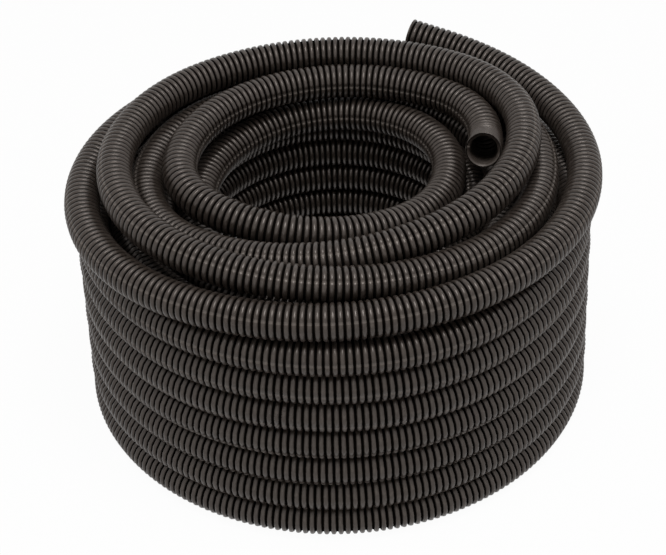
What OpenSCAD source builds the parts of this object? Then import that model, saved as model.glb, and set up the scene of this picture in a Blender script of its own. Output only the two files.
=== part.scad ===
// Corrugated conduit, slit along its length, wound into a free-standing coil.
// One continuous tube: a close-wound body, loose turns on top and two open ends.
// Millimetres, +Z up. The origin is on the floor, on the axis of the wound body.

/* [Tube] */
// Outside diameter over the ribs
tube_od = 24; // [20:0.5:26]
// Depth of a groove below the ribs
rib_depth = 1.9; // [1:0.1:2.5]
// Thickness of the moulded wall
wall = 0.6; // [0.4:0.1:0.9]
// Distance from one rib to the next
rib_pitch = 4.5; // [4:0.1:6]
// Length of a rib's flat crest
rib_crest = 2.4; // [1.6:0.1:2.6]
// Length of a groove's flat floor
groove_floor = 0.9; // [0.6:0.1:1.2]
// Width of the slit along the tube
slit_w = 0.8; // [0.5:0.1:2]

/* [Wound body] */
// Radius from the coil's axis to the middle of the outermost row, in the bottom layer
outer_r = 169; // [150:1:200]
// How much smaller each layer is in radius than the one below it
step_in = 0.5; // [0:0.1:1]
// Distance between the rows, measured outwards
row_pitch = 22.8; // [20:0.1:24]
// Distance between the layers, measured upwards
layer_pitch = 22.8; // [20:0.1:24]
// Number of rows, from the eye outwards
rows = 4; // [3:1:5]
// Number of layers, from the floor upwards
layers = 7; // [4:1:9]

/* [Open ends] */
// Ribs on the straight piece at each open end
end_ribs = 5; // [4:1:10]
// Climb of the raised end above the level, in degrees
end_climb = 8.5; // [3:0.5:10]

/* [Hidden] */
$fn = 48;
tube_r = tube_od / 2;
root_r = tube_r - rib_depth;
// The plain turns lie a hair below the crests, so that a joint's rib stands out of both
plain_r = tube_r - 0.15;
joint_gap = 0.4;
end_length = end_ribs * rib_pitch;
// A formed wall is as thick on a rib's side as on its crest
rib_side = (rib_pitch - rib_crest - groove_floor) / 2;
wall_shift = wall * tan(atan2(rib_depth, rib_side) / 2);
top_z = tube_r + (layers - 1) * layer_pitch;
// Radius of the innermost row in the top layer, which the loose turns are set out from
inner_r = row_r(0, layers - 1);
// A half turn is three arcs in one tilted plane: side, crown, side
side_sweep = 55;
crown_sweep = 180 - 2 * side_sweep;
// Where the loose turns cross the X axis, right and left in turn, in tube diameters: out from
// the innermost row, along Y, up from the top layer, and the flatness of the half turn that
// ends there
outgoing = [
  [0.8, 0, 0.5, 1], [1.2, -0.25, 1, 1.1], [1.4, 0.7, 2, 1.25], [2, -0.5, 1.9, 1.5],
  [1.9, 0.25, 1, 1.2], [3, -0.5, 1, 1.25], [3.1, 0.25, 1.1, 1.2]];
inward = [[0.35, 0.9, 1.6, 1], [0.2, -0.5, 1.7, 1.5], [-0.7, 0.5, 0.75, 1.5], [-0.25, -0.25, 0.4, 1]];
// Radius in tube diameters and sweep of the arcs that lead to each open end
raised_arcs = [[6, side_sweep], [7, 12]];
inner_arcs = [[2, 25]];
// Lean of the inner end's lift, from the level
inner_lean = 110;
// Turn of the inner end's slit from the top, to the coil's outer side
slit_turn = -90;

// Radius of a row in a layer
function row_r(row, layer) = outer_r - (rows - 1 - row) * row_pitch - layer * step_in;

function side_point(p, sign) = [
  sign * (inner_r + p[0] * tube_od), p[1] * tube_od, top_z + p[2] * tube_od];
function side_points(route) = [
  for (i = [0 : len(route) - 1]) side_point(route[i], i % 2 == 0 ? 1 : -1)];

// Radii of the three arcs of a half turn, for its width, its drift and its flatness
function arc_radii(width, drift, flat) =
  let(side = width / (2 * (1 - cos(side_sweep)) + 2 * flat * sin(crown_sweep / 2)))
  let(shift = drift / (2 * sin(side_sweep)))
  [side + shift, flat * side, side - shift];

// One exact bend of the plain tube, from the origin, heading +Y and curving to -X.
// It stops short of both its joints, inside the ribs there.
module bend(radius, sweep) {
  trim = joint_gap / radius * 180 / PI;
  translate([-radius, 0, 0])
    rotate([0, 0, trim])
      rotate_extrude(angle = sweep - 2 * trim, $fn = 96)
        translate([radius, 0])
          circle(plain_r);
}

// The rib over a joint, centred on the origin, along Y
module joint_rib() {
  rotate([90, 0, 0])
    cylinder(r = tube_r, h = rib_crest, center = true);
}

// Bends laid end to end, with a rib over each joint between them: radii and sweeps of equal
// length. Children stand at the far end.
module bends(radii, sweeps, i = 0) {
  if (i < len(radii)) {
    if (i > 0)
      joint_rib();
    bend(radii[i], sweeps[i]);
    translate([-radii[i], 0, 0])
      rotate([0, 0, sweeps[i]])
        translate([radii[i], 0, 0])
          bends(radii, sweeps, i + 1)
            children();
  } else {
    children();
  }
}

// A half turn between two side points, on one tilted plane
module half_turn(from, to, flat) {
  heading = from[0] > 0 ? 1 : -1;
  run = abs(to[0] - from[0]);
  rise = to[2] - from[2];
  width = norm([run, rise]);
  translate(from)
    rotate([0, 0, heading > 0 ? 0 : 180])
      rotate([0, atan2(rise, run), 0])
        bends(arc_radii(width, heading * (to[1] - from[1]), flat),
              [side_sweep, crown_sweep, side_sweep]);
}

// The close-wound turns: one ring, scalloped by every turn on its faces
module wound_body() {
  rotate_extrude($fn = 96)
    union() {
      for (row = [0 : rows - 1])
        for (layer = [0 : layers - 1])
          translate([row_r(row, layer), tube_r + layer * layer_pitch])
            circle(tube_r);
      polygon([[row_r(0, 0), tube_r], [row_r(rows - 1, 0), tube_r],
               [row_r(rows - 1, layers - 1), top_z], [inner_r, top_z]]);
    }
}

// The loose turns through a list of side points, with a rib at each
module loose_turns(route) {
  points = side_points(route);
  for (i = [0 : len(points) - 2])
    half_turn(points[i], points[i + 1], route[i + 1][3]);
  for (point = points)
    translate(point)
      joint_rib();
}

// Outline of the corrugated wall, from the crest over the joint to the cut through the last
// crest: radius, distance. Grow widens the groove floors and shortens the crests.
function wave(groove_r, crest_r, grow) = [
  for (i = [0 : end_ribs - 1])
    for (p = [[crest_r, rib_crest / 2 - grow], [groove_r, rib_crest / 2 + rib_side - grow],
              [groove_r, rib_pitch - rib_crest / 2 - rib_side + grow],
              [crest_r, rib_pitch - rib_crest / 2 + grow]])
      [p[0], i * rib_pitch + p[1]]];

// A straight corrugated piece along +Z, solid inside, from start to end
module corrugated_solid(groove_r, crest_r, grow, start, end) {
  rotate_extrude($fn = 72)
    polygon(concat([[0, start], [crest_r, start]], wave(groove_r, crest_r, grow), [[crest_r, end], [0, end]]));
}

// The hollow, slit, corrugated end, along +Y from its joint with the plain tube. Its first
// rib stays closed. The slit is on top, or turned from there about the tube.
module open_end(turn) {
  rotate([-90, 0, 0])
    rotate([0, 0, turn])
      difference() {
        corrugated_solid(root_r, tube_r, 0, -rib_crest / 2, end_length);
        difference() {
          corrugated_solid(root_r - wall, tube_r - wall, wall_shift, 0, end_length + 1);
          translate([0, 0, -tube_od])
            cylinder(r = tube_od, h = tube_od + rib_pitch);
        }
        translate([-slit_w / 2, -tube_od, rib_pitch])
          cube([slit_w, tube_od, end_length]);
      }
}

// The arcs that lead on to an open end, which stands at their far end
module lead(arcs) {
  bends([for (arc = arcs) arc[0] * tube_od], [for (arc = arcs) arc[1]])
    children();
}

// The open end inside the coil, lifted and leaning in from the start of the inward turns
module inner_end() {
  translate(side_points(inward)[0])
    rotate([0, inner_lean, 180])
      lead(inner_arcs)
        open_end(slit_turn - inner_lean);
}

// The open end that rises off the outermost turn
module raised_end() {
  translate(side_points(outgoing)[len(outgoing) - 1])
    rotate([0, end_climb, 0])
      lead(raised_arcs)
        open_end(0);
}

module conduit() {
  color([0.16, 0.15, 0.14]) {
    wound_body();
    loose_turns(outgoing);
    loose_turns(inward);
    inner_end();
    raised_end();
  }
}

conduit();
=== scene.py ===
"""Looks of a coil of slit corrugated conduit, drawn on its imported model.

One length of black corrugated tube is wound into a standing coil. Each stretch of it is a
corrugated wall laid round a path by one Geometry Nodes tree: the close-wound turns of the body,
the loose turns that climb over them, and the two open ends with their ribbed insides.
Metres, +Z up, the origin on the floor on the axis of the coil.
"""

import logging
import math
from dataclasses import dataclass, field
from enum import Enum

import bmesh
import bpy
from mathutils import Matrix, Vector


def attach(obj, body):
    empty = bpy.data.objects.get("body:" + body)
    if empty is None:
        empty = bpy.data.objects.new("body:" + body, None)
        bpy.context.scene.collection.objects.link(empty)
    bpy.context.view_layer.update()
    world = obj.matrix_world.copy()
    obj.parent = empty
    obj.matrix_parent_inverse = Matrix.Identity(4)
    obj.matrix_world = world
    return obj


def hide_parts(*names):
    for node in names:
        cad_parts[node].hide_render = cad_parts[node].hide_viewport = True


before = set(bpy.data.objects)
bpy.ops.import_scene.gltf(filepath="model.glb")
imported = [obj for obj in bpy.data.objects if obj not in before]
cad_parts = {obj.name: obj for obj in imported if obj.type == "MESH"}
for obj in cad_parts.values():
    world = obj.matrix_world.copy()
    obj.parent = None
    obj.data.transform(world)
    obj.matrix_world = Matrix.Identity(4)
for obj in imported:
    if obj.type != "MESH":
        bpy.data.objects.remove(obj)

log = logging.getLogger("conduit_scene")

MM = 0.001
BODY = "root"
NODE = "conduit"
WALL_UV = "UVMap"


class Wire:
    """A socket of a node tree whose arithmetic adds Math nodes."""

    def __init__(self, tree: bpy.types.NodeTree, socket: bpy.types.NodeSocket) -> None:
        """Keeps the tree and the socket.

        Args:
            tree: the tree that the socket's node is in.
            socket: an output socket.
        """
        self.tree = tree
        self.socket = socket

    def math(self, operation: str, *others: object, clamp: bool = False) -> "Wire":
        """Adds one Math node on this socket.

        Args:
            operation: the Math node's operation.
            others: the further operands, wires or numbers.
            clamp: whether the result stays from 0 to 1.

        Returns:
            The node's result.
        """
        node = self.tree.nodes.new("ShaderNodeMath")
        node.operation = operation
        node.use_clamp = clamp
        for place, operand in enumerate((self, *others)):
            plug(self.tree, node.inputs[place], operand)
        return Wire(self.tree, node.outputs[0])

    def reflected(self, operation: str, other: object) -> "Wire":
        """Adds a Math node whose first operand is the other value.

        Args:
            operation: the Math node's operation.
            other: a number.

        Returns:
            The node's result.
        """
        node = self.tree.nodes.new("ShaderNodeMath")
        node.operation = operation
        plug(self.tree, node.inputs[0], other)
        plug(self.tree, node.inputs[1], self)
        return Wire(self.tree, node.outputs[0])

    def __add__(self, other: object) -> "Wire":
        """Sum."""
        return self.math("ADD", other)

    def __radd__(self, other: object) -> "Wire":
        """Sum, reflected."""
        return self.reflected("ADD", other)

    def __sub__(self, other: object) -> "Wire":
        """Difference."""
        return self.math("SUBTRACT", other)

    def __rsub__(self, other: object) -> "Wire":
        """Difference, reflected."""
        return self.reflected("SUBTRACT", other)

    def __mul__(self, other: object) -> "Wire":
        """Product."""
        return self.math("MULTIPLY", other)

    def __rmul__(self, other: object) -> "Wire":
        """Product, reflected."""
        return self.reflected("MULTIPLY", other)

    def __truediv__(self, other: object) -> "Wire":
        """Quotient."""
        return self.math("DIVIDE", other)

    def __gt__(self, other: object) -> "Wire":
        """1 where this is greater."""
        return self.math("GREATER_THAN", other)

    def __lt__(self, other: object) -> "Wire":
        """1 where this is less."""
        return self.math("LESS_THAN", other)

    def __mod__(self, other: object) -> "Wire":
        """Remainder."""
        return self.math("FLOORED_MODULO", other)

    def floor(self) -> "Wire":
        """The whole part."""
        return self.math("FLOOR")

    def absolute(self) -> "Wire":
        """The distance from nought."""
        return self.math("ABSOLUTE")

    def least(self, other: object) -> "Wire":
        """The lesser of the two."""
        return self.math("MINIMUM", other)


def plug(tree: bpy.types.NodeTree, socket: bpy.types.NodeSocket, value: object) -> None:
    """Gives an input socket its value or its link.

    Args:
        tree: the tree of the socket's node.
        socket: the input socket.
        value: a Wire, an output socket, or a plain value.
    """
    if isinstance(value, Wire):
        tree.links.new(value.socket, socket)
    elif isinstance(value, bpy.types.NodeSocket):
        tree.links.new(value, socket)
    else:
        socket.default_value = value


def add_node(
    tree: bpy.types.NodeTree,
    kind: str,
    settings: dict[str, object] | None = None,
    inputs: dict[str | int, object] | None = None,
) -> bpy.types.Node:
    """Adds any node: its type, then its settings, then its sockets.

    Args:
        tree: the tree to add to.
        kind: the node's type.
        settings: properties of the node, set first. "stops" fills a colour ramp with
            (place, value) pairs.
        inputs: values or links of its input sockets, by name or place.

    Returns:
        The node.
    """
    node = tree.nodes.new(kind)
    for name, value in (settings or {}).items():
        if name == "stops":
            ramp = node.color_ramp
            while len(ramp.elements) < len(value):
                ramp.elements.new(0.5)
            for element, (place, shade) in zip(ramp.elements, value):
                element.position = place
                element.color = (shade, shade, shade, 1.0)
        else:
            setattr(node, name, value)
    for name, value in (inputs or {}).items():
        plug(tree, node.inputs[name], value)
    return node


def wired(
    tree: bpy.types.NodeTree,
    kind: str,
    output: str | int = 0,
    settings: dict[str, object] | None = None,
    inputs: dict[str | int, object] | None = None,
) -> Wire:
    """Adds any node and wraps one of its outputs.

    Args:
        tree: the tree to add to.
        kind: the node's type.
        output: the name or place of the output.
        settings: properties of the node.
        inputs: values or links of its input sockets.

    Returns:
        The output as a Wire.
    """
    return Wire(tree, add_node(tree, kind, settings, inputs).outputs[output])


class Heading(Enum):
    """The side of the coil that a half turn leaves from."""

    RIGHT = 1
    LEFT = -1


@dataclass(frozen=True)
class SidePoint:
    """A place where a loose turn crosses the X axis, in tube diameters.

    Attributes:
        out: outwards from the innermost row of the top layer.
        along: along Y.
        up: above the top layer.
        flatness: of the half turn that ends here.
    """

    out: float
    along: float
    up: float
    flatness: float


@dataclass(frozen=True)
class Tube:
    """Section of the corrugated tube.

    Attributes:
        diameter: over the ribs.
        rib_depth: of a groove below the ribs.
        wall: thickness of the moulded wall.
        rib_pitch: from one rib to the next.
        rib_crest: length of a crest.
        groove_floor: length of a groove's floor.
        shoulder_drop: how far a crest's rounded edge lies below its middle.
        slit_width: of the closed slit, where the edges roll in.
        slit_depth: how deep the rolled edges draw the surface in.
    """

    diameter: float = 24.0 * MM
    rib_depth: float = 1.9 * MM
    wall: float = 0.6 * MM
    rib_pitch: float = 4.5 * MM
    rib_crest: float = 2.4 * MM
    groove_floor: float = 0.9 * MM
    shoulder_drop: float = 0.42 * MM
    slit_width: float = 0.7 * MM
    slit_depth: float = 0.35 * MM

    @property
    def radius(self) -> float:
        """Radius of a crest."""
        return self.diameter / 2

    def stations(self) -> list[tuple[float, float]]:
        """Outline of one rib: groove edge, shoulder and crest, up and down again.

        Returns:
            Places along the rib as shares of the pitch, with how far each lies below the crest.
        """
        steps = (
            (self.rib_pitch / 2 - self.groove_floor / 2, self.rib_depth),
            (self.rib_crest / 2, self.shoulder_drop),
            (self.rib_crest / 4, 0.0),
        )
        up = [(0.5 - reach / self.rib_pitch, drop) for reach, drop in steps]
        down = [(1 - share, drop) for share, drop in reversed(up)]
        return up + down


@dataclass
class Route:
    """A path of exact arcs and straights, kept as close-set points.

    Attributes:
        points: the points, in metres.
        step: the distance between points.
    """

    points: list[Vector] = field(default_factory=list)
    step: float = 2.5 * MM

    def extend(self, more: list[Vector]) -> None:
        """Adds points, and leaves out a first one that repeats the last."""
        start = 1 if self.points and more and (more[0] - self.points[-1]).length < 1e-6 else 0
        self.points.extend(more[start:])

    def arcs(
        self, place: Matrix, radii: tuple[float, ...], sweeps: tuple[float, ...]
    ) -> Matrix:
        """Lays arcs end to end from a frame whose +Y is the heading and whose -X is the inside.

        Args:
            place: the frame at the start.
            radii: radius of each arc.
            sweeps: sweep of each arc, in degrees.

        Returns:
            The frame at the far end.
        """
        for radius, sweep in zip(radii, sweeps):
            angle = math.radians(sweep)
            count = max(2, math.ceil(radius * angle / self.step))
            centre = place @ Matrix.Translation((-radius, 0, 0))
            turned = [
                centre @ Matrix.Rotation(angle * i / count, 4, "Z") @ Matrix.Translation((radius, 0, 0))
                for i in range(count + 1)
            ]
            self.extend([frame_at.to_translation() for frame_at in turned])
            place = turned[-1]
        return place

    def straight(self, place: Matrix, length: float) -> Matrix:
        """Lays a straight along a frame's +Y.

        Args:
            place: the frame at the start.
            length: of the straight.

        Returns:
            The frame at the far end.
        """
        count = max(2, math.ceil(length / self.step))
        frames = [place @ Matrix.Translation((0, length * i / count, 0)) for i in range(count + 1)]
        self.extend([frame_at.to_translation() for frame_at in frames])
        return frames[-1]

    def length(self) -> float:
        """Length along the points."""
        return sum((b - a).length for a, b in zip(self.points, self.points[1:]))


@dataclass(frozen=True)
class Winding:
    """Places of the coil's turns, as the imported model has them.

    Attributes:
        outer_radius: axis to the outermost row, in the bottom layer.
        step_in: how much smaller each layer is than the one below.
        row_pitch: between rows.
        layer_pitch: between layers.
        rows: number of rows.
        layers: number of layers.
        side_sweep: sweep of the two side arcs of a half turn, in degrees.
        end_ribs: ribs on the straight at each open end.
        end_climb: climb of the raised end, in degrees.
        inner_lean: lean of the inner end's lift, from the level, in degrees.
    """

    outer_radius: float = 169.0 * MM
    step_in: float = 0.5 * MM
    row_pitch: float = 22.8 * MM
    layer_pitch: float = 22.8 * MM
    rows: int = 4
    layers: int = 7
    side_sweep: float = 55.0
    end_ribs: int = 5
    end_climb: float = 8.5
    inner_lean: float = 110.0
    outgoing: tuple[SidePoint, ...] = (
        SidePoint(0.8, 0, 0.5, 1), SidePoint(1.2, -0.25, 1, 1.1), SidePoint(1.4, 0.7, 2, 1.25),
        SidePoint(2, -0.5, 1.9, 1.5), SidePoint(1.9, 0.25, 1, 1.2), SidePoint(3, -0.5, 1, 1.25),
        SidePoint(3.1, 0.25, 1.1, 1.2),
    )
    inward: tuple[SidePoint, ...] = (
        SidePoint(0.35, 0.9, 1.6, 1), SidePoint(0.2, -0.5, 1.7, 1.5),
        SidePoint(-0.7, 0.5, 0.75, 1.5), SidePoint(-0.25, -0.25, 0.4, 1),
    )
    raised_arcs: tuple[tuple[float, float], ...] = ((6, 55), (7, 12))
    inner_arcs: tuple[tuple[float, float], ...] = ((2, 25),)

    def row_radius(self, row: int, layer: int) -> float:
        """Radius of a row in a layer."""
        return self.outer_radius - (self.rows - 1 - row) * self.row_pitch - layer * self.step_in

    def layer_height(self, layer: int, tube: Tube) -> float:
        """Height of the middle of a layer."""
        return tube.radius + layer * self.layer_pitch

    def side_points(self, route: tuple[SidePoint, ...], tube: Tube) -> list[Vector]:
        """The side points of a route, right and left in turn, in metres."""
        inner = self.row_radius(0, self.layers - 1)
        top = self.layer_height(self.layers - 1, tube)
        return [
            Vector((
                (1 if place % 2 == 0 else -1) * (inner + point.out * tube.diameter),
                point.along * tube.diameter,
                top + point.up * tube.diameter,
            ))
            for place, point in enumerate(route)
        ]

    def half_turn(self, route: Route, start: Vector, end: Vector, flatness: float) -> None:
        """Lays three arcs in one tilted plane: side, crown, side.

        Args:
            route: the route to add to.
            start: side point that it leaves.
            end: side point that it reaches.
            flatness: of the crown against the sides.
        """
        heading = Heading.RIGHT if start.x > 0 else Heading.LEFT
        run, rise = abs(end.x - start.x), end.z - start.z
        crown_sweep = 180 - 2 * self.side_sweep
        side_angle = math.radians(self.side_sweep)
        side = math.hypot(run, rise) / (
            2 * (1 - math.cos(side_angle)) + 2 * flatness * math.sin(math.radians(crown_sweep / 2))
        )
        shift = heading.value * (end.y - start.y) / (2 * math.sin(side_angle))
        turn = 0.0 if heading is Heading.RIGHT else math.pi
        place = (
            Matrix.Translation(start)
            @ Matrix.Rotation(turn, 4, "Z")
            @ Matrix.Rotation(math.atan2(rise, run), 4, "Y")
        )
        route.arcs(
            place,
            (side + shift, flatness * side, side - shift),
            (self.side_sweep, crown_sweep, self.side_sweep),
        )

    def loose_route(self, points: tuple[SidePoint, ...], tube: Tube) -> Route:
        """The half turns through a list of side points."""
        route = Route()
        places = self.side_points(points, tube)
        for start, end, point in zip(places, places[1:], points[1:]):
            self.half_turn(route, start, end, point.flatness)
        return route

    def outgoing_route(self, tube: Tube) -> Route:
        """The loose turns that climb outwards, on to the raised open end."""
        route = self.loose_route(self.outgoing, tube)
        last = self.side_points(self.outgoing, tube)[-1]
        place = Matrix.Translation(last) @ Matrix.Rotation(math.radians(self.end_climb), 4, "Y")
        place = route.arcs(
            place,
            tuple(radius * tube.diameter for radius, _ in self.raised_arcs),
            tuple(sweep for _, sweep in self.raised_arcs),
        )
        route.straight(place, self.end_ribs * tube.rib_pitch)
        return route

    def inward_route(self, tube: Tube) -> Route:
        """The loose turns inside the coil, from the body to the inner open end."""
        end = Route()
        first = self.side_points(self.inward, tube)[0]
        place = (
            Matrix.Translation(first)
            @ Matrix.Rotation(math.pi, 4, "Z")
            @ Matrix.Rotation(math.radians(self.inner_lean), 4, "Y")
        )
        place = end.arcs(
            place,
            tuple(radius * tube.diameter for radius, _ in self.inner_arcs),
            tuple(sweep for _, sweep in self.inner_arcs),
        )
        end.straight(place, self.end_ribs * tube.rib_pitch)
        turns = self.loose_route(self.inward, tube)
        turns.points.reverse()
        turns.extend(end.points)
        return turns

    def ring_route(self, row: int, layer: int, tube: Tube) -> Route:
        """One closed turn of the body."""
        radius, height = self.row_radius(row, layer), self.layer_height(layer, tube)
        count = math.ceil(2 * math.pi * radius / (2.5 * MM))
        # Each turn starts at a place of its own, so that the ribs of neighbours don't line up
        start = 2.4 * layer + 0.9 * row
        return Route([
            Vector((
                radius * math.cos(start + 2 * math.pi * i / count),
                radius * math.sin(start + 2 * math.pi * i / count),
                height,
            ))
            for i in range(count)
        ])


@dataclass
class WallTree:
    """The Geometry Nodes tree that lays a corrugated wall round a path.

    Attributes:
        tube: the tube's section.
    """

    tube: Tube
    tree: bpy.types.NodeTree = field(init=False)
    sockets: dict[str, str] = field(default_factory=dict, init=False)

    INPUTS = (
        ("Ribs", "NodeSocketInt", 10),
        ("Segments", "NodeSocketInt", 16),
        ("Pitch", "NodeSocketFloat", 0.0045),
        ("Lining rings", "NodeSocketInt", 0),
        ("End rings", "NodeSocketInt", 0),
        ("Crest radius", "NodeSocketFloat", 0.012),
        ("Wall", "NodeSocketFloat", 0.0006),
        ("Slit angle", "NodeSocketFloat", 0.0),
        ("Slit twist", "NodeSocketFloat", 0.0),
        ("Slit width", "NodeSocketFloat", 0.0009),
        ("Slit depth", "NodeSocketFloat", 0.0005),
        ("Wander", "NodeSocketFloat", 0.0),
        ("Finish", "NodeSocketMaterial", None),
    )

    def __post_init__(self) -> None:
        """Builds the tree once."""
        self.tree = bpy.data.node_groups.new("corrugated_wall", "GeometryNodeTree")
        face = self.tree.interface
        face.new_socket("Geometry", in_out="INPUT", socket_type="NodeSocketGeometry")
        for name, kind, default in self.INPUTS:
            item = face.new_socket(name, in_out="INPUT", socket_type=kind)
            if default is not None:
                item.default_value = default
            self.sockets[name] = item.identifier
        face.new_socket("Geometry", in_out="OUTPUT", socket_type="NodeSocketGeometry")
        self.build()

    def vector(self, operation: str, output: str, *operands: object) -> Wire:
        """Adds a Vector Math node.

        Args:
            operation: its operation.
            output: the output that is wanted.
            operands: wires or plain vectors; a last number is the scale.

        Returns:
            The output.
        """
        node = self.tree.nodes.new("ShaderNodeVectorMath")
        node.operation = operation
        for place, operand in enumerate(operands):
            target = node.inputs["Scale"] if operation == "SCALE" and place == 1 else node.inputs[place]
            plug(self.tree, target, operand)
        return Wire(self.tree, node.outputs[output])

    def switch(self, index: Wire, values: list[float]) -> Wire:
        """A number picked by an index from a short list.

        Args:
            index: which number.
            values: the numbers.

        Returns:
            The picked number.
        """
        node = self.tree.nodes.new("GeometryNodeIndexSwitch")
        node.data_type = "FLOAT"
        while len(node.index_switch_items) < len(values):
            node.index_switch_items.new()
        plug(self.tree, node.inputs[0], index)
        for place, value in enumerate(values):
            node.inputs[place + 1].default_value = value
        return Wire(self.tree, node.outputs[0])

    def build(self) -> None:
        """Fills the tree.

        A grid of rings by segments is wrapped round the path: the outside of the wall from the
        path's start to its end, and, where there is a lining, back again along its inside. An
        open path's first and last rings close to a point.
        """
        tree = self.tree
        given = add_node(tree, "NodeGroupInput")
        outputs = given.outputs
        ribs, segments = Wire(tree, outputs["Ribs"]), Wire(tree, outputs["Segments"])
        pitch, radius = Wire(tree, outputs["Pitch"]), Wire(tree, outputs["Crest radius"])
        lining, extra = Wire(tree, outputs["Lining rings"]), Wire(tree, outputs["End rings"])
        stations = self.tube.stations()
        per_rib = len(stations)

        mouth = ribs * per_rib + extra
        rings = mouth + lining + 1
        columns = segments + 1
        grid = wired(
            tree, "GeometryNodeMeshGrid",
            inputs={"Vertices X": rings, "Vertices Y": columns, "Size X": 1.0, "Size Y": 1.0},
        )
        index = wired(tree, "GeometryNodeInputIndex")
        ring = ((index + 0.5) / columns).floor()
        column = index - ring * columns
        inside = ring > mouth
        outer_ring = ring + inside * (mouth * 2 + 1 - ring * 2)
        rib = ((outer_ring + 0.5) / float(per_rib)).floor()
        station = outer_ring - rib * per_rib
        share = self.switch(station, [place for place, _ in stations])
        drop = self.switch(station, [depth for _, depth in stations])
        length = wired(tree, "GeometryNodeCurveLength", inputs={"Curve": outputs["Geometry"]})
        closed = extra < 0.5
        travel = (rib + share) * pitch
        travel = travel - closed * (travel > length - 1e-6) * length
        travel = travel.least(length)

        sample = add_node(
            tree, "GeometryNodeSampleCurve", {"mode": "LENGTH"},
            {"Curves": outputs["Geometry"], "Length": travel},
        )
        tangent = Wire(tree, sample.outputs["Tangent"])
        centre = Wire(tree, sample.outputs["Position"])
        side = self.vector("NORMALIZE", "Vector", self.vector("CROSS_PRODUCT", "Vector", tangent, (0, 0, 1)))
        up = self.vector("CROSS_PRODUCT", "Vector", side, tangent)

        half_slit = Wire(tree, outputs["Slit width"]) * 0.5 / radius
        slit = Wire(tree, outputs["Slit angle"]) + travel * Wire(tree, outputs["Slit twist"])
        at_slit = (column < 0.5) + (column > segments - 0.5)
        around = half_slit + (column - 1.0) * (2 * math.pi - half_slit * 2.0) / (segments - 2.0)
        angle = slit + (1.0 - at_slit) * around
        wall_radius = radius - drop - inside * Wire(tree, outputs["Wall"])
        wall_radius = wall_radius - at_slit * Wire(tree, outputs["Slit depth"])
        ends = (ring < 0.5) + (ring > mouth + lining - 0.5)
        open_path = 1.0 - closed
        wall_radius = wall_radius * (1.0 - ends * open_path)

        noise = add_node(
            tree, "ShaderNodeTexNoise", {"noise_dimensions": "3D"},
            {"Vector": centre, "Scale": 9.0, "Detail": 1.0},
        )
        sway = self.vector("SUBTRACT", "Vector", Wire(tree, noise.outputs["Color"]), (0.5, 0.5, 0.5))
        sway = self.vector("SCALE", "Vector", sway, Wire(tree, outputs["Wander"]))
        across = self.vector("SCALE", "Vector", side, wall_radius * angle.math("COSINE"))
        rising = self.vector("SCALE", "Vector", up, wall_radius * angle.math("SINE"))
        place = self.vector("ADD", "Vector", centre, across)
        place = self.vector("ADD", "Vector", place, rising)
        place = self.vector("ADD", "Vector", place, sway)

        laid = wired(tree, "GeometryNodeSetPosition", inputs={"Geometry": grid, "Position": place})
        # The lining's own ribs stand where the outside has its grooves
        along_tube = rib + share + inside * 0.5
        around_tube = (1.0 - at_slit) * around / (2 * math.pi) + (column > segments - 0.5)
        coordinate = wired(tree, "ShaderNodeCombineXYZ", inputs={0: along_tube, 1: around_tube})
        marked = wired(
            tree, "GeometryNodeStoreNamedAttribute",
            settings={"data_type": "FLOAT_VECTOR", "domain": "POINT"},
            inputs={"Geometry": laid, "Name": "tube_place", "Value": coordinate},
        )
        kept = wired(
            tree, "GeometryNodeInputNamedAttribute",
            settings={"data_type": "FLOAT_VECTOR"}, inputs={"Name": "tube_place"},
        )
        mapped = wired(
            tree, "GeometryNodeStoreNamedAttribute",
            settings={"data_type": "FLOAT2", "domain": "CORNER"},
            inputs={"Geometry": marked, "Name": WALL_UV, "Value": kept},
        )
        closed_up = wired(
            tree, "GeometryNodeMergeByDistance", inputs={"Geometry": mapped, "Distance": 0.005 * MM}
        )
        smooth = wired(tree, "GeometryNodeSetShadeSmooth", inputs={"Geometry": closed_up})
        realized = wired(tree, "GeometryNodeRealizeInstances", inputs={"Geometry": smooth})
        dressed = wired(
            tree, "GeometryNodeSetMaterial",
            inputs={"Geometry": realized, "Material": outputs["Finish"]},
        )
        add_node(tree, "NodeGroupOutput", inputs={"Geometry": dressed})

    def mesh(self, route: Route, closed: bool, values: dict[str, object]) -> bpy.types.Mesh:
        """Lays the wall round one route and returns it as a plain mesh.

        Args:
            route: the path.
            closed: whether the path is a loop.
            values: values of the tree's inputs, by name.

        Returns:
            The mesh.
        """
        curve = bpy.data.curves.new("route", "CURVE")
        curve.dimensions = "3D"
        spline = curve.splines.new("POLY")
        spline.points.add(len(route.points) - 1)
        for knot, point in zip(spline.points, route.points):
            knot.co = (*point, 1.0)
        spline.use_cyclic_u = closed
        host = bpy.data.objects.new("route", curve)
        bpy.context.scene.collection.objects.link(host)
        modifier = host.modifiers.new("wall", "NODES")
        modifier.node_group = self.tree
        for name, value in values.items():
            modifier[self.sockets[name]] = value
        bpy.context.view_layer.update()
        evaluated = host.evaluated_get(bpy.context.evaluated_depsgraph_get())
        mesh = bpy.data.meshes.new_from_object(evaluated)
        bpy.data.objects.remove(host)
        bpy.data.curves.remove(curve)
        return mesh


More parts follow.
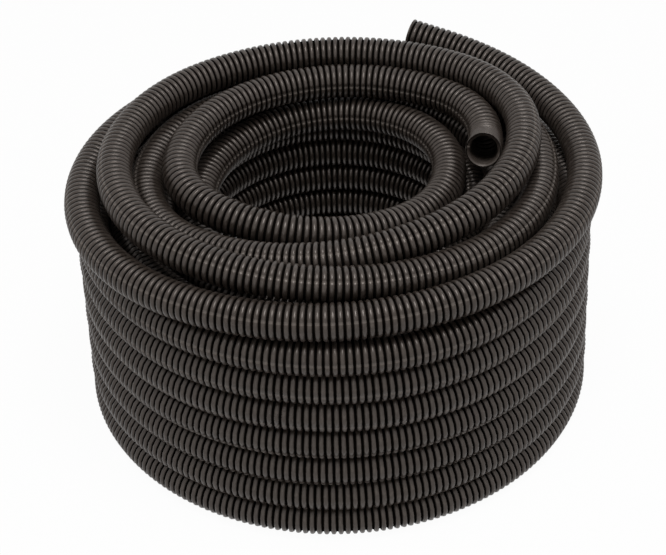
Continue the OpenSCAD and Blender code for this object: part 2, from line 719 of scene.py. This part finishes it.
@dataclass(frozen=True)
class BlackPolyethylene:
    """Finish of the tube: moulded black polyethylene, semi-gloss, lightly scuffed, with painted shade in the
    grooves and a painted highlight along the slit's lips.

    Attributes:
        colour: the plastic.
        scuff_and_lip_highlight: the paler, dustier tone of the handled crests, also the pale colour of the
            painted highlight along the slit's lips.
        painted_groove_shade: the deep tone of the grooves, which nothing rubs.
        sheen_tint: tone of the reflections.
        specular: their level.
        roughness: of the clean surface.
    """

    colour: tuple[float, float, float] = (0.029, 0.0222, 0.0182)
    scuff_and_lip_highlight: tuple[float, float, float] = (0.15, 0.128, 0.112)
    painted_groove_shade: tuple[float, float, float] = (0.0035, 0.003, 0.0026)
    sheen_tint: tuple[float, float, float] = (1.0, 0.9, 0.84)
    specular: float = 0.5
    roughness: float = 0.31

    def material(self) -> bpy.types.Material:
        """Builds the material."""
        material = bpy.data.materials.new("black_polyethylene")
        material.use_nodes = True
        tree = material.node_tree
        tree.nodes.clear()
        place = wired(tree, "ShaderNodeTexCoord", "Object")
        wall = wired(tree, "ShaderNodeUVMap", 0, {"uv_map": WALL_UV})
        parts = add_node(tree, "ShaderNodeSeparateXYZ", inputs={0: wall})
        along, around = Wire(tree, parts.outputs[0]), Wire(tree, parts.outputs[1])

        patches = self.noise(tree, place, 22.0, 3.0, 0.55)
        grain = self.noise(tree, place, 900.0, 2.0, 0.6)
        streaks = self.noise(tree, place, 240.0, 3.0, 0.6)
        from_crest = ((along % 1.0) - 0.5).absolute()
        crest = wired(
            tree, "ShaderNodeMapRange", "Result", {"interpolation_type": "SMOOTHSTEP"},
            {"Value": from_crest, "From Min": 0.36, "From Max": 0.27, "To Min": 0.0, "To Max": 1.0},
        )
        # Painted highlight: a pale thin line on the crests along both lips of the slit, where the slit's
        # edges catch the light.
        from_slit = around.least(1.0 - around)
        painted_lip_highlight = wired(
            tree, "ShaderNodeMapRange", "Result", {"interpolation_type": "SMOOTHSTEP"},
            {"Value": from_slit, "From Min": 0.017, "From Max": 0.008, "To Min": 0.0, "To Max": 1.0},
        )
        worn = (streaks - 0.52).math("MULTIPLY", 4.0, clamp=True) * crest
        # Pale tone from real wear on the crests and random patches, plus the painted highlight along the
        # slit's lips.
        amount = (worn * 0.3 + painted_lip_highlight * crest * 0.5 + (patches - 0.3) * 0.16).math("MINIMUM", 1.0)
        shade = add_node(
            tree, "ShaderNodeMix", {"data_type": "RGBA", "blend_type": "MIX"},
            {"Factor": amount, 6: (*self.colour, 1.0), 7: (*self.scuff_and_lip_highlight, 1.0)},
        )
        roughness = self.roughness + (patches - 0.5) * 0.24 + worn * 0.14
        bump = add_node(
            tree, "ShaderNodeBump",
            inputs={"Height": grain + streaks * 1.4, "Strength": 0.22, "Distance": 0.12 * MM},
        )
        plastic_surface = add_node(
            tree, "ShaderNodeBsdfPrincipled",
            inputs={
                "Base Color": shade.outputs[2], "Roughness": roughness, "Normal": bump.outputs[0],
                "IOR": 1.51, "Specular IOR Level": self.specular,
                "Specular Tint": (*self.sheen_tint, 1.0),
            },
        )
        # Painted shade: away from the crests, the grooves and lower flanks get a near-black matte colour with
        # no reflection, in place of the plastic, standing in for the shade in the deep grooves.
        painted_shade_shader = add_node(tree, "ShaderNodeBsdfDiffuse", inputs={"Color": (*self.painted_groove_shade, 1.0)})
        shader = add_node(
            tree, "ShaderNodeMixShader", inputs={0: crest, 1: painted_shade_shader.outputs[0], 2: plastic_surface.outputs[0]}
        )
        add_node(tree, "ShaderNodeOutputMaterial", inputs={"Surface": shader.outputs[0]})
        return material

    @staticmethod
    def noise(
        tree: bpy.types.NodeTree, place: Wire, scale: float, detail: float, rough: float
    ) -> Wire:
        """Adds a noise in object coordinates.

        Args:
            tree: the material's tree.
            place: the coordinates.
            scale: cells a metre.
            detail: octaves.
            rough: weight of the finer octaves.

        Returns:
            Its value, about 0.5.
        """
        return wired(
            tree, "ShaderNodeTexNoise", 0,
            inputs={"Vector": place, "Scale": scale, "Detail": detail, "Roughness": rough},
        )


@dataclass(frozen=True)
class StudioWhite:
    """Finish of the floor: white, with the shadow of what stands on it.

    Attributes:
        colour: the floor.
        lift: how much of the white is there whatever the shadow.
    """

    colour: float = 0.9
    lift: float = 0.96

    def material(self) -> bpy.types.Material:
        """Builds the material."""
        material = bpy.data.materials.new("studio_white")
        material.use_nodes = True
        tree = material.node_tree
        tree.nodes.clear()
        rays = add_node(tree, "ShaderNodeLightPath")
        seen = Wire(tree, rays.outputs["Is Camera Ray"]) + Wire(tree, rays.outputs["Is Glossy Ray"])
        diffuse = add_node(tree, "ShaderNodeBsdfDiffuse", inputs={"Color": (self.colour,) * 3 + (1.0,)})
        glow = add_node(tree, "ShaderNodeEmission", inputs={"Color": (1.0, 1.0, 1.0, 1.0), "Strength": 1.0})
        mixed = add_node(
            tree, "ShaderNodeMixShader",
            inputs={0: seen.least(1.0) * self.lift, 1: diffuse.outputs[0], 2: glow.outputs[0]},
        )
        add_node(tree, "ShaderNodeOutputMaterial", inputs={"Surface": mixed.outputs[0]})
        return material


@dataclass
class Coil:
    """The whole length of conduit, in the stretches that it is drawn in.

    Attributes:
        tube: the tube's section.
        winding: places of the turns.
        wander: how far a turn strays from its exact place.
    """

    tube: Tube = field(default_factory=Tube)
    winding: Winding = field(default_factory=Winding)
    wander: float = 0.9 * MM
    lining_ribs: int = 12
    slit_twist: float = -0.2

    def __post_init__(self) -> None:
        """Makes the tree and the finish that every stretch shares."""
        self.wall = WallTree(self.tube)
        self.finish = BlackPolyethylene().material()

    def values(self, route: Route, closed: bool, segments: int, slit: float) -> dict[str, object]:
        """Values of the tree's inputs for one route.

        Args:
            route: the path.
            closed: whether it is a loop.
            segments: vertices round the tube.
            slit: where the slit starts, in radians from the coil's outer side.

        Returns:
            The values by name.
        """
        length = route.length()
        if closed:
            length += (route.points[0] - route.points[-1]).length
        ribs = round(length / self.tube.rib_pitch)
        # An open path ends in the middle of a crest
        spare = 0.0 if closed else 0.5
        return {
            "Ribs": ribs,
            "Segments": segments,
            "Pitch": length / (ribs + spare),
            "Lining rings": 0 if closed else self.lining_ribs * 6,
            "End rings": 0 if closed else 3,
            "Crest radius": self.tube.radius,
            "Wall": self.tube.wall,
            "Slit angle": slit,
            "Slit twist": self.slit_twist,
            "Slit width": self.tube.slit_width,
            "Slit depth": self.tube.slit_depth,
            "Wander": self.wander if closed else 0.0,
            "Finish": self.finish,
        }

    def keep(self, name: str, meshes: list[bpy.types.Mesh]) -> bpy.types.Object:
        """Joins meshes into one piece of the conduit.

        Args:
            name: of the piece.
            meshes: its turns.

        Returns:
            The piece.
        """
        joined = bmesh.new()
        for mesh in meshes:
            joined.from_mesh(mesh)
            bpy.data.meshes.remove(mesh)
        whole = bpy.data.meshes.new(name)
        joined.to_mesh(whole)
        joined.free()
        whole.materials.append(self.finish)
        piece = bpy.data.objects.new(name, whole)
        bpy.context.scene.collection.objects.link(piece)
        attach(piece, BODY)
        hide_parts(NODE)
        triangles = sum(len(face.vertices) - 2 for face in whole.polygons)
        log.info("%s: %d triangles", name, triangles)
        return piece

    def turns(self, name: str, places: list[tuple[int, int]], segments: int) -> bpy.types.Object:
        """Draws closed turns of the body as one piece.

        Args:
            name: of the piece.
            places: row and layer of each turn.
            segments: vertices round the tube.

        Returns:
            The piece.
        """
        meshes = []
        for row, layer in places:
            route = self.winding.ring_route(row, layer, self.tube)
            slit = 0.2 - 0.21 * (self.winding.layers - 1 - layer) if row == self.winding.rows - 1 else 1.9
            values = self.values(route, True, segments, slit)
            values["Slit twist"] = 0.0
            meshes.append(self.wall.mesh(route, True, values))
        return self.keep(name, meshes)

    def build(self) -> None:
        """Draws every stretch."""
        outer, top = self.winding.rows - 1, self.winding.layers - 1
        self.turns("outer_turns_lower", [(outer, layer) for layer in range(4)], 16)
        self.turns("outer_turns_upper", [(outer, layer) for layer in range(4, top + 1)], 16)
        self.turns("eye_turns", [(0, layer) for layer in range(top + 1)], 16)
        self.turns("top_turns", [(row, top) for row in range(1, outer)], 12)
        self.turns("bottom_turns", [(row, 0) for row in range(1, outer)], 12)
        outgoing = self.winding.outgoing_route(self.tube)
        values = self.values(outgoing, False, 24, 1.05)
        self.keep("outgoing_turns", [self.wall.mesh(outgoing, False, values)])
        inward = self.winding.inward_route(self.tube)
        values = self.values(inward, False, 24, 0.3)
        self.keep("inward_turns", [self.wall.mesh(inward, False, values)])


@dataclass
class Studio:
    """Floor, lamps, world and camera.

    Attributes:
        camera_place: the camera, in metres.
        look_down: of the camera below the level, in degrees.
        yaw: of the camera from +Y towards +X, in degrees.
        roll: of the camera, in degrees.
        lens: in millimetres on a 36 mm sensor.
    """

    camera_place: tuple[float, float, float] = (0.01103, -0.9494, 0.8288)
    look_down: float = 38.22
    yaw: float = -0.793
    roll: float = -2.09
    lens: float = 90.9
    world_light: float = 0.3
    overhead_power: float = 17.0
    front_power: float = 2.0

    def camera(self) -> None:
        """Adds the camera and makes it the scene's."""
        data = bpy.data.cameras.new("camera")
        data.lens = self.lens
        data.sensor_width = 36.0
        data.clip_start, data.clip_end = 0.05, 20.0
        camera = bpy.data.objects.new("camera", data)
        bpy.context.scene.collection.objects.link(camera)
        down, yaw, roll = (math.radians(value) for value in (self.look_down, self.yaw, self.roll))
        forward = Vector((math.sin(yaw) * math.cos(down), math.cos(yaw) * math.cos(down), -math.sin(down)))
        level = Vector((math.cos(yaw), -math.sin(yaw), 0.0))
        above = level.cross(forward)
        right = level * math.cos(roll) + above * math.sin(roll)
        up = above * math.cos(roll) - level * math.sin(roll)
        camera.matrix_world = Matrix.Translation(self.camera_place) @ Matrix(
            (right, up, -forward)
        ).transposed().to_4x4()
        bpy.context.scene.camera = camera

    def lamp(self, name: str, size: float, power: float, place: Vector, target: Vector) -> None:
        """Adds a square area lamp.

        Args:
            name: of the lamp.
            size: of its side.
            power: in watts.
            place: where it hangs.
            target: what it faces.
        """
        data = bpy.data.lights.new(name, "AREA")
        data.shape = "SQUARE"
        data.size = size
        data.energy = power
        lamp = bpy.data.objects.new(name, data)
        bpy.context.scene.collection.objects.link(lamp)
        lamp.location = place
        lamp.rotation_euler = (target - place).to_track_quat("-Z", "Y").to_euler()

    def floor(self) -> None:
        """Adds the floor as a wide disc."""
        mesh = bpy.data.meshes.new("floor")
        disc = bmesh.new()
        bmesh.ops.create_circle(disc, cap_ends=True, segments=96, radius=6.0)
        disc.to_mesh(mesh)
        disc.free()
        mesh.materials.append(StudioWhite().material())
        floor = bpy.data.objects.new("floor", mesh)
        bpy.context.scene.collection.objects.link(floor)

    def world(self) -> None:
        """White to the camera and in reflections, a plain soft light otherwise."""
        world = bpy.data.worlds.new("studio")
        bpy.context.scene.world = world
        world.use_nodes = True
        tree = world.node_tree
        tree.nodes.clear()
        rays = add_node(tree, "ShaderNodeLightPath")
        light = add_node(
            tree, "ShaderNodeBackground", inputs={"Color": (1.0, 1.0, 1.0, 1.0), "Strength": self.world_light}
        )
        seen = add_node(tree, "ShaderNodeBackground", inputs={"Color": (1.0, 1.0, 1.0, 1.0), "Strength": 1.0})
        shown = Wire(tree, rays.outputs["Is Camera Ray"]) + Wire(tree, rays.outputs["Is Glossy Ray"])
        mixed = add_node(
            tree, "ShaderNodeMixShader",
            inputs={0: shown.least(1.0), 1: light.outputs[0], 2: seen.outputs[0]},
        )
        add_node(tree, "ShaderNodeOutputWorld", inputs={"Surface": mixed.outputs[0]})

    def build(self) -> None:
        """Sets up the whole studio."""
        bpy.context.scene.view_settings.view_transform = "Standard"
        self.camera()
        self.floor()
        self.world()
        middle = Vector((0.0, 0.0, 0.1))
        self.lamp("overhead", 0.75, self.overhead_power, Vector((0.1, -0.35, 1.7)), middle)
        self.lamp("front", 1.2, self.front_power, Vector((-0.5, -1.8, 0.7)), middle)


def main() -> None:
    """Builds the studio and the coil."""
    logging.basicConfig(level=logging.INFO, format="%(name)s: %(message)s")
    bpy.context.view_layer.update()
    Studio().build()
    Coil().build()


if __name__ == "__main__":
    main()
